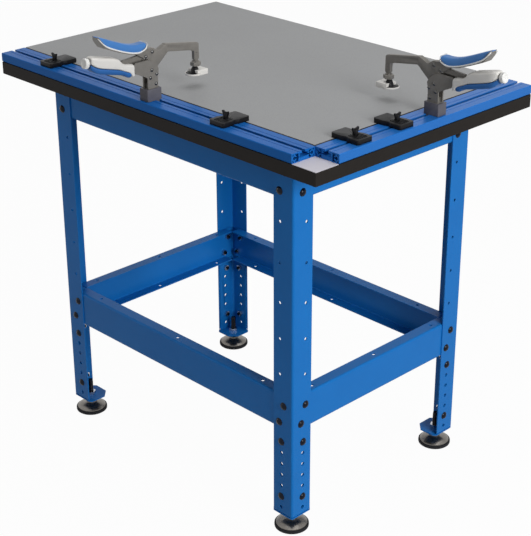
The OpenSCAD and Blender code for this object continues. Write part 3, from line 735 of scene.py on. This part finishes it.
@dataclass
class Stand:
    """The bolted steel stand and the boards and tracks on it: CAD shapes with their finishes."""

    finishes: dict[str, Finish] = field(
        default_factory=lambda: {
            "leg_": POWDER_COAT,
            "_apron": POWDER_COAT,
            "_rail": POWDER_COAT,
            "foot_brackets": POWDER_COAT,
            "frame_bolts": BLACK_OXIDE,
            "frame_nuts": ZINC,
            "top_screws": ZINC,
            "track_screws": ZINC,
            "base_board": BOARD,
            "work_board": WORK_FACE,
            "front_track": TRACK_X_PAINTED_SHADE,
            "side_track": TRACK_Y_PAINTED_LIGHT,
            "corner_plate": PLATE,
            "foot_": ZINC,
            "stud_": BLACK_OXIDE,
            "stop_": NYLON,
            "thumb_": NYLON,
            "_clamp_foot": BLUED,
            "_clamp_grip": ABS_WHITE,
            "_clamp_knob": ABS_WHITE,
            "_clamp_pad": ABS_WHITE,
            "_clamp_cushion": SOFT_BLUE,
            "_clamp_palm": SOFT_BLUE,
            "_clamp_": FORGED,
        }
    )

    def dress(self) -> None:
        """Gives each CAD node the first finish whose key is in its name."""
        for name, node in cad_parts.items():
            key = next(k for k in self.finishes if k in name)
            node.data.materials.clear()
            node.data.materials.append(self.finishes[key].material())
            log.info("%s: CAD node in %s", name, self.finishes[key].name)


@dataclass
class BoardEdge:
    """The grey board's top edges beside the tracks, broken by a small chamfer that carries painted
    seam shade.

    The edges lie within reach of a track and within near of the face.
    """

    chamfer: float = 2.6
    reach: float = 1.0
    near: float = 0.05
    shade_angle: float = 20.0

    def build(self) -> None:
        """Chamfers the upper edges along both tracks on a copy of the work board."""
        piece = Piece.from_node("work_board_chamfered", "work_board")
        low, high = (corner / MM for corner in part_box("work_board"))
        piece.pick(
            Pick.EDGE,
            lambda m, way: m.z > high.z - self.near
            and abs(way.z) < 1 - ALONG_AXIS
            and (m.y < low.y + self.reach or m.x > high.x - self.reach),
        )
        piece.bevel(self.chamfer, 1)
        piece.close(self.shade_angle)
        piece.dress(WORK_FACE, "stand", "work_board", ["work_board"])


@dataclass
class FootBracket:
    """Folded brackets under the legs, with the two outer corners of each tab clipped.

    Clip is how far each cut reaches along the tab's sides, tab is the height within which a
    corner belongs to the tab, and deep is half the height of the cutter.
    """

    clip: float = 6.5
    tab: float = 4.0
    deep: float = 60.0

    def build(self) -> None:
        """Clips the tabs on a copy of the four brackets."""
        piece = Piece.from_node("foot_brackets_clipped", "foot_brackets")
        leave_edit()
        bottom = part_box("foot_brackets")[0].z + self.tab * MM
        points = [v.co.copy() for v in piece.obj.data.vertices if v.co.z < bottom]
        for way_x in (-1, 1):
            for way_y in (-1, 1):
                foot = [p / MM for p in points if p.x * way_x > 0 and p.y * way_y > 0]
                out_x, in_x = (f(p.x * way_x for p in foot) * way_x for f in (max, min))
                out_y, in_y = (f(p.y * way_y for p in foot) * way_y for f in (max, min))
                for x, y in ((in_x, out_y), (out_x, in_y)):
                    self.clip_corner(piece, Vector((x * MM, y * MM, bottom)))
        piece.close()
        piece.dress(POWDER_COAT, "stand", "stand_steel", ["foot_brackets"])

    def clip_corner(self, piece: Piece, corner: Vector) -> None:
        """Cuts one corner off at 45 degrees.

        Args:
            piece: the brackets.
            corner: the corner, in metres.
        """
        side = self.clip * math.sqrt(0.5)
        cutter = Piece.block("clipper", (-side, -side, -self.deep), (side, side, self.deep))
        turn = Matrix.Rotation(math.pi / 4, 4, "Z")
        cutter.move(Matrix.Translation(corner) @ turn)
        piece.cut(cutter)


@dataclass
class LevellingFoot:
    """Rubber sole with a tread, and the plated cup with a boss that stands on it."""

    radius: float = 35.1
    sole: float = 8.0
    tread_inset: float = 7.0
    tread_depth: float = 1.2
    cup_edge: float = 3.0
    height: float = 24.0
    boss: float = 12.0
    bore: float = 5.9
    bore_floor: float = 12.0

    def build(self) -> None:
        """Makes a sole and a cup for each of the four feet."""
        sole = self.make_sole()
        cup = self.make_cup()
        for corner in ("front_left", "front_right", "back_left", "back_right"):
            low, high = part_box(f"foot_{corner}")
            place = Matrix.Translation(((low.x + high.x) / 2, (low.y + high.y) / 2, 0))
            body = f"levelling_foot_{corner}"
            made = sole.copy(f"foot_sole_{corner}", place)
            made.dress(RUBBER, body, "foot", [f"foot_{corner}"])
            cup.copy(f"foot_cup_{corner}", place).dress(SPUN, body, "plated_steel")
        sole.drop()
        cup.drop()

    def make_sole(self) -> Piece:
        """Turns the sole, with a groove round its side and a hollow underneath.

        Returns:
            The sole, about the Z axis.
        """
        r, h = self.radius, self.sole
        piece = Piece.turned(
            "sole",
            [
                (r - 2.4, 0), (r - 0.4, 1.6), (r, 3), (r, 5.2), (r - 0.7, 5.6), (r, 6.2),
                (r - 0.3, h), (r - 4, h),
            ],
        )
        piece.pick(Pick.FACE, lambda m, normal: normal.z < -ALONG_AXIS)
        piece.inset(self.tread_inset)
        piece.extrude((0, 0, self.tread_depth))
        piece.close()
        return piece

    def make_cup(self) -> Piece:
        """Turns the cup and its boss, hollow where the stud stands in it.

        Returns:
            The cup, about the Z axis.
        """
        edge = self.radius - self.cup_edge
        piece = Piece.turned(
            "cup",
            [
                (edge, self.sole), (edge + 0.1, 9), (edge - 0.3, 10.4), (edge - 2, 11.5),
                (25.5, 15), (17, 17.2), (14, 18.6), (self.boss, 20.2), (self.boss, 23.4),
                (self.boss - 0.6, self.height), (self.bore + 0.5, self.height),
                (self.bore, self.height - 0.5), (self.bore, self.bore_floor),
            ],
        )
        piece.close()
        return piece


@dataclass
class TrackStop:
    """Moulded stops and their thumb screws, with every edge broken as a mould leaves it."""

    edge: float = 0.5

    def build(self) -> None:
        """Rounds a copy of each stop and each thumb screw."""
        for place in ("front_left", "front_right", "side_front", "side_back"):
            for node, body in (
                (f"stop_{place}", f"track_stop_{place}"),
                (f"thumb_{place}", f"stop_screw_{place}"),
            ):
                piece = Piece.from_node(f"{node}_moulded", node)
                piece.round_edges(self.edge)
                piece.close()
                piece.dress(NYLON, body, "stop", [node])


@dataclass(frozen=True)
class Cut:
    """A block to cut away, in a clamp's own millimetres: its corners and its turn about Z."""

    low: tuple[float, float, float]
    high: tuple[float, float, float]
    turn: float = 0.0


@dataclass
class LeverClamp:
    """The pieces of one locking lever clamp, drawn about the slot's middle, handles along -X."""

    # Half the handles' width, and where the riveted outer faces lie
    half: float = 13.5
    plate_face: float = 7.9
    # Middles of the rivets in the clamp's upright plane
    base_rivets: tuple[tuple[float, float], ...] = (
        (2.5, 50.5), (-13.5, 45.5), (-0.3, 32.0), (-9.5, 60.0)
    )
    lever_rivets: tuple[tuple[float, float], ...] = ((-7.0, 95.0), (-22.5, 88.5))
    # The arm's upright end, then its two sides, which taper by a degree
    arm_cuts: tuple[Cut, ...] = (
        Cut((113.4, -9, 40), (125, 9, 120)),
        Cut((92, -9, 40), (101.4, 9, 74)),
        Cut((6, 5.5, 30), (130, 12, 120), -1.05),
        Cut((6, -12, 30), (130, -5.5, 120), 1.05),
    )
    # The spacer between the plates, set back above the foot block
    neck_cuts: tuple[Cut, ...] = (Cut((-25, -5.4, 24.4), (-15, 5.4, 33.5)),)
    arm_edge: float = 0.4
    foot_edge: float = 0.5
    pad_axis: float = 101.0
    ball_axis: float = 107.0
    # The adjusting screw: the knob's middle, and the screw's rise over its run
    knob_out: float = -157.5
    knob_up: float = 102.0
    screw_rise: float = 16.0
    screw_run: float = 85.5
    rib: float = 0.45
    fill: float = 0.8
    places: dict[str, Matrix] = field(
        default_factory=lambda: {
            "front": Matrix.Translation((0.0014, -0.2748, TOP_Z))
            @ Matrix.Rotation(math.pi / 2, 4, "Z"),
            "side": Matrix.Translation((0.4272, 0.0351, TOP_Z))
            @ Matrix.Rotation(math.pi, 4, "Z"),
        }
    )

    def build(self) -> None:
        """Makes each piece once, sets a copy on each clamp and refines the steel nodes."""
        base, lever = self.make_rivets(self.base_rivets), self.make_rivets(self.lever_rivets)
        jobs = (
            (self.make_grip(), "grip_shell", "base", ABS_DULL, "grip_shell", "grip", False),
            # The cushion under the lower handle takes the blue with painted shade
            (self.make_cushion(), "grip_cushion", "base", SOFT_BLUE_PAINTED_SHADE, "cushion", "cushion", True),
            (self.make_palm(), "lever_palm", "handle", SOFT_BLUE, "cushion", "palm", True),
            (self.make_liner(), "lever_liner", "handle", ABS_WHITE, "grip_shell", None, False),
            (self.make_knob(), "grip_knob", "adjuster", ABS_WHITE, "grip_shell", "knob", False),
            (base, "plate_rivets", "base", RIVET, "plated_steel", None, False),
            (lever, "lever_rivets", "handle", RIVET, "plated_steel", None, False),
            (self.make_collar(), "hex_collar", "jaw", FORGED, "clamp_steel", None, False),
            (self.make_pad(), "swivel_pad", "shoe", ABS_DULL, "pad", "pad", False),
            (self.make_well(), "pad_well", "shoe", NYLON, "stop", None, False),
        )
        for piece, name, body, finish, slot, node, soft in jobs:
            for side, place in self.places.items():
                stands_for = [f"{side}_clamp_{node}"] if node else []
                made = piece.copy(f"{side}_{name}", place)
                obj = made.dress(finish, f"{side}_clamp_{body}", slot, stands_for)
            piece.drop()
        for side, place in self.places.items():
            self.refine(side, place, "foot", "base", BLUED, (), self.foot_edge)
            self.refine(side, place, "arm", "jaw", FORGED, self.arm_cuts, self.arm_edge)
            self.refine(side, place, "body", "base", FORGED, self.neck_cuts, 0.0)

    def refine(
        self,
        side: str,
        place: Matrix,
        node: str,
        body: str,
        finish: Finish,
        cuts: Sequence[Cut],
        edge: float,
    ) -> None:
        """Cuts and rounds a copy of one of a clamp's steel nodes.

        Args:
            side: which clamp.
            place: the matrix from the clamp's own coordinates to the table's.
            node: the end of the CAD node's name.
            body: the end of its body's name.
            finish: its surface.
            cuts: blocks to cut away.
            edge: how far its rounded edges reach, or 0 where they stay sharp.
        """
        cad = f"{side}_clamp_{node}"
        piece = Piece.from_node(f"{cad}_rounded", cad)
        for cut in cuts:
            cutter = Piece.block("cutter", cut.low, cut.high)
            cutter.move(place @ Matrix.Rotation(math.radians(cut.turn), 4, "Z"))
            piece.cut(cutter)
        if edge:
            piece.round_edges(edge)
        piece.close(SMOOTH_ANGLE if edge else DOME_ANGLE)
        piece.dress(finish, f"{side}_clamp_{body}", "clamp_steel", [cad])

    def make_grip(self) -> Piece:
        """Draws out the lower handle's shell and cuts the link's slot in its top.

        Returns:
            The shell in the clamp's own coordinates, as for every piece below.
        """
        w = self.half
        piece = lofted(
            "grip",
            [
                Section(-54.3, 58, 80.5, w - 0.6), Section(-57, 57.6, 81.8, w),
                Section(-60, 58.5, 82.8, w), Section(-63, 66.5, 83.4, w),
                Section(-71, 70, 84.6, w), Section(-77, 72.4, 86.2, w),
                Section(-82, 74.8, 89.4, w), Section(-87, 77.4, 96.6, w),
                Section(-94, 79.6, 101.0, w), Section(-110, 83.6, 104.7, w),
                Section(-134, 89.6, 110.2, w * 0.95), Section(-143, 94.5, 112.2, w * 0.84),
                Section(-149.3, 100, 111.5, w * 0.62),
            ],
            5.5, 3.0,
        )
        piece.cut(Piece.block("slot_cutter", (-84, -5.5, 79.5), (-40, 5.5, 120)))
        piece.close()
        return piece

    def make_cushion(self) -> Piece:
        """Draws out the soft pad below the lower handle, with a finger stop at its inner end.

        Returns:
            The pad.
        """
        w = self.half
        return lofted(
            "cushion",
            [
                Section(-61.4, 58.2, 65, w - 1.2), Section(-64, 57.6, 67.6, w - 0.2),
                Section(-69.5, 58, 69, w), Section(-74, 61.6, 70.8, w),
                Section(-78, 64.8, 73, w), Section(-88, 67, 77.4, w),
                Section(-104, 70.8, 81.6, w), Section(-122, 75.2, 86.2, w * 0.98),
                Section(-136, 79, 89.8, w * 0.93), Section(-145, 83.4, 95, w * 0.8),
                Section(-150.6, 90, 99, w * 0.55),
            ],
            2.2, 4.0, 1.2,
        )

    def make_palm(self) -> Piece:
        """Draws out the crowned soft palm of the upper handle.

        Returns:
            The palm.
        """
        w = self.half - 0.9
        return lofted(
            "palm",
            [
                Section(-22.8, 110.4, 115.4, w - 2.0), Section(-25.6, 106.8, 115.8, w - 0.5),
                Section(-33, 103.4, 115.3, w), Section(-41, 101.4, 115.4, w),
                Section(-52, 103.0, 116.8, w), Section(-66, 106.4, 120.6, w),
                Section(-84, 113.0, 127.6, w), Section(-103, 121.0, 135.6, w * 0.98),
                Section(-117, 127.8, 141.6, w * 0.94), Section(-127, 135.6, 145.6, w * 0.84),
                Section(-133, 142.2, 147.2, w * 0.6),
            ],
            5.2, 1.6, 1.0,
        )

    def make_liner(self) -> Piece:
        """Draws out the pale liner whose edge shows between the soft palm and the steel tray.

        Returns:
            The liner.
        """
        w = self.half + 0.3
        return lofted(
            "liner",
            [
                Section(-20.6, 112.6, 116.6, w - 2.2), Section(-22.0, 107.8, 112.6, w - 0.7),
                Section(-25.4, 103.8, 107.6, w), Section(-33, 100.8, 103.9, w),
                Section(-41, 98.9, 101.9, w), Section(-52, 100.5, 103.5, w),
                Section(-66, 103.9, 106.9, w), Section(-84, 110.5, 113.5, w),
                Section(-103, 118.4, 121.5, w), Section(-117, 125.0, 128.5, w),
                Section(-127, 134.4, 137.4, w * 0.94), Section(-132.6, 142.6, 145.6, w * 0.82),
            ],
            1.2, 1.2, 0.8,
        )

    def make_rivets(self, middles: Sequence[tuple[float, float]]) -> Piece:
        """Turns a domed rivet head and sets one on each outer face at each place.

        Args:
            middles: the rivets' middles in the clamp's upright plane.

        Returns:
            All the heads as one piece.
        """
        head = Piece.turned(
            "rivet", [(3.7, -0.1), (3.7, 0.4), (3.2, 1.0), (1.1, 2.3), (0.3, 2.45)], 24
        )
        head.close()
        heads = []
        for out, up in middles:
            for side in (-1, 1):
                turn = Matrix.Rotation(-side * math.pi / 2, 4, "X")
                spot = Matrix.Translation((out * MM, side * self.plate_face * MM, up * MM))
                heads.append(head.copy("rivet_set", spot @ turn))
        head.drop()
        heads[0].join(heads[1:])
        return heads[0]

    def make_collar(self) -> Piece:
        """Turns the six-sided collar under the arm's end, its corners broken above and below.

        Returns:
            The collar.
        """
        piece = Piece.turned("collar", [(9.6, 42.9), (10.5, 43.6), (10.5, 49.8), (9.6, 50.5)], 6)
        piece.move(Matrix.Translation((self.ball_axis * MM, 0, 0)))
        piece.close()
        return piece

    def make_pad(self) -> Piece:
        """Joins the pad's front block to its thin round dish.

        Returns:
            The pad.
        """
        piece = Piece.block("pad", (100, -14, 25.1), (127, 14, 35.5))
        piece.round_edges(0.8, 3)
        dish = Piece.turned(
            "dish",
            [(15.6, 26.3), (16.6, 27.1), (16.6, 29.2), (16.0, 29.9), (15.3, 29.9), (14.9, 28.3)],
        )
        dish.move(Matrix.Translation((self.pad_axis * MM, 0, 0)))
        piece.cut(dish, "UNION")
        piece.close()
        return piece

    def make_well(self) -> Piece:
        """Turns a thin near-black layer inside the dish, and the cone that holds the ball.

        Returns:
            The lining with its cone.
        """
        piece = Piece.turned("well", [(14.7, 28.1), (14.9, 29.3), (14.2, 29.6), (9.0, 29.8)], 48)
        piece.move(Matrix.Translation((self.pad_axis * MM, 0, 0)))
        cone = Piece.turned(
            "cone", [(9.6, 29.2), (8.6, 32.0), (6.8, 36.6), (5.8, 39.6), (4.8, 40.6)], 48
        )
        cone.move(Matrix.Translation(((self.ball_axis - 2) * MM, 0, 0)))
        piece.cut(cone, "UNION")
        piece.close()
        return piece

    def make_knob(self) -> Piece:
        """Turns the adjusting knob, raises ribs round it and sets it on its screw's axis.

        Returns:
            The knob with its stem.
        """
        sides, rim = 48, 9.0
        step = math.radians(360 / sides)
        piece = Piece.turned(
            "knob",
            [(8.2, -4), (9.1, -3.2), (9.1, 3.2), (8.2, 4), (5.6, 4), (5.2, 3.4), (0.4, 3.4)],
            sides,
        )
        piece.pick(
            Pick.FACE,
            lambda m, normal: abs(normal.z) < 0.2
            and m.xy.length > rim
            and round(math.atan2(m.y, m.x) / step - 0.5) % 2 == 0,
        )
        bpy.ops.mesh.extrude_faces_move(TRANSFORM_OT_shrink_fatten={"value": self.rib * MM})
        piece.close()
        stem = Piece.turned("knob_stem", [(3, -26), (3, -4.2), (3.4, -3.9)], 24)
        stem.close()
        piece.join([stem])
        tilt = math.atan2(self.screw_rise, self.screw_run)
        spot = Matrix.Translation((self.knob_out * MM, 0, self.knob_up * MM))
        piece.move(spot @ Matrix.Rotation(tilt - math.pi / 2, 4, "Y"))
        return piece


# Studio


@dataclass(frozen=True)
class Lamp:
    """A square lamp: its place and its side in metres, its power in watts."""

    name: str
    place: tuple[float, float, float]
    side: float
    power: float

    def hang(self, target: Vector) -> None:
        """Adds the lamp to the scene.

        Args:
            target: the point that it looks at, in metres.
        """
        data = bpy.data.lights.new(self.name, "AREA")
        data.energy, data.size = self.power, self.side
        lamp = bpy.data.objects.new(self.name, data)
        lamp.location = self.place
        lamp.rotation_mode = "QUATERNION"
        lamp.rotation_quaternion = (target - Vector(self.place)).to_track_quat("-Z", "Y")
        bpy.context.scene.collection.objects.link(lamp)


@dataclass
class Studio:
    """A plain pale floor, soft lights, the brightest at the right, and the photograph's camera."""

    # The camera as solved from the photograph: angles in degrees, its place in metres
    image: tuple[int, int] = (531, 536)
    azimuth: float = 45.28
    elevation: float = 24.92
    position: tuple[float, float, float] = (2.0011, -1.9265, 1.6865)
    focal_px: float = 1417.85
    centre_px: tuple[float, float] = (276.7, 266.5)
    sensor_mm: float = 36.0
    # The floor: its side and how far it lies below the soles, in metres, and its surface
    floor_side: float = 30.0
    floor_drop: float = 0.0005
    floor_grey: str = "#8C8C8C"
    floor_roughness: float = 0.9
    # How white the floor looks, and the share of that in what is seen of it
    glow: float = 1.03
    glow_share: float = 0.94
    # The surrounding as it is seen, and as it lights the table
    world_seen: float = 1.0
    world_light: float = 0.22
    # Bright at the right, weak at the front and above, and a small one for glints
    lamp_target: tuple[float, float, float] = (0.05, -0.02, 0.5)
    lamps: tuple[Lamp, ...] = (
        Lamp("right_lamp", (3.6, -0.4, 1.9), 1.6, 110.0),
        Lamp("front_lamp", (-0.6, -3.6, 1.6), 2.0, 3.6),
        Lamp("glint_lamp", (-3.0, -2.4, 1.3), 0.16, 7.0),
        Lamp("top_lamp", (0.4, 0.3, 3.6), 2.4, 34.0),
    )

    def build(self) -> None:
        """Makes the floor, the world, the lamps and the camera."""
        self.make_camera()
        self.make_floor()
        self.make_world()
        for lamp in self.lamps:
            lamp.hang(Vector(self.lamp_target))
        bpy.context.scene.view_settings.view_transform = "Standard"

    def make_camera(self) -> None:
        """Sets the camera at the photograph's angle, with the small shift of its framing."""
        width, height = self.image
        long_side = max(self.image)
        data = bpy.data.cameras.new("photo_camera")
        data.sensor_width = self.sensor_mm
        data.lens = self.focal_px * self.sensor_mm / long_side
        data.shift_x = (width / 2 - self.centre_px[0]) / long_side
        data.shift_y = (self.centre_px[1] - height / 2) / long_side
        camera = bpy.data.objects.new("photo_camera", data)
        bpy.context.scene.collection.objects.link(camera)
        a, e = math.radians(self.azimuth), math.radians(self.elevation)
        back = Vector((math.sin(a) * math.cos(e), -math.cos(a) * math.cos(e), math.sin(e)))
        camera.rotation_mode = "QUATERNION"
        camera.rotation_quaternion = (-back).to_track_quat("-Z", "Y")
        camera.location = self.position
        bpy.context.scene.camera = camera

    def make_floor(self) -> None:
        """Lays a wide floor that shows white but keeps the table's shadow."""
        leave_edit()
        bpy.ops.mesh.primitive_plane_add(
            size=self.floor_side, location=(0, 0, -self.floor_drop)
        )
        floor = bpy.context.object
        floor.name = "studio_floor"
        finish = bpy.data.materials.new("floor_paper")
        finish.use_nodes = True
        tree = finish.node_tree
        shader = tree.nodes["Principled BSDF"]
        shader.inputs["Base Color"].default_value = linear(self.floor_grey)
        shader.inputs["Roughness"].default_value = self.floor_roughness
        seen = self.seen(tree)
        glow = add_node(
            tree, "ShaderNodeEmission", {"Color": (1, 1, 1, 1), "Strength": self.glow}
        )
        share = add_node(
            tree, "ShaderNodeMath", {"operation": "MULTIPLY", 1: self.glow_share}, {0: seen}
        )
        mixed = add_node(
            tree,
            "ShaderNodeMixShader",
            links={0: share.outputs[0], 1: shader.outputs[0], 2: glow.outputs[0]},
        )
        tree.links.new(mixed.outputs[0], tree.nodes["Material Output"].inputs["Surface"])
        floor.data.materials.append(finish)

    def seen(self, tree: bpy.types.NodeTree) -> bpy.types.NodeSocket:
        """Is 1 for what the camera sees directly, in a reflection or through something clear.

        Args:
            tree: the node tree.

        Returns:
            The value's socket.
        """
        path = add_node(tree, "ShaderNodeLightPath")
        either = add_node(
            tree, "ShaderNodeMath", {"operation": "MAXIMUM"},
            {0: path.outputs["Is Camera Ray"], 1: path.outputs["Is Glossy Ray"]},
        )
        any_ray = add_node(
            tree, "ShaderNodeMath", {"operation": "MAXIMUM"},
            {0: either.outputs[0], 1: path.outputs["Is Transmission Ray"]},
        )
        return any_ray.outputs[0]

    def make_world(self) -> None:
        """Gives a white surrounding to the camera and a dimmer, even light to the object."""
        world = bpy.data.worlds.new("studio_world")
        bpy.context.scene.world = world
        world.use_nodes = True
        tree = world.node_tree
        ground = tree.nodes["Background"]
        ground.inputs["Color"].default_value = (1, 1, 1, 1)
        strength = add_node(
            tree,
            "ShaderNodeMapRange",
            {TO_MIN: self.world_light, TO_MAX: self.world_seen},
            {"Value": self.seen(tree)},
        )
        tree.links.new(strength.outputs["Result"], ground.inputs["Strength"])


def main() -> None:
    """Builds the studio, dresses the frame and adds the pieces that stand for CAD solids."""
    logging.basicConfig(level=logging.INFO, format="%(name)s %(message)s")
    Studio().build()
    Stand().dress()
    LevellingFoot().build()
    BoardEdge().build()
    FootBracket().build()
    TrackStop().build()
    LeverClamp().build()
    leave_edit()


if __name__ == "__main__":
    main()
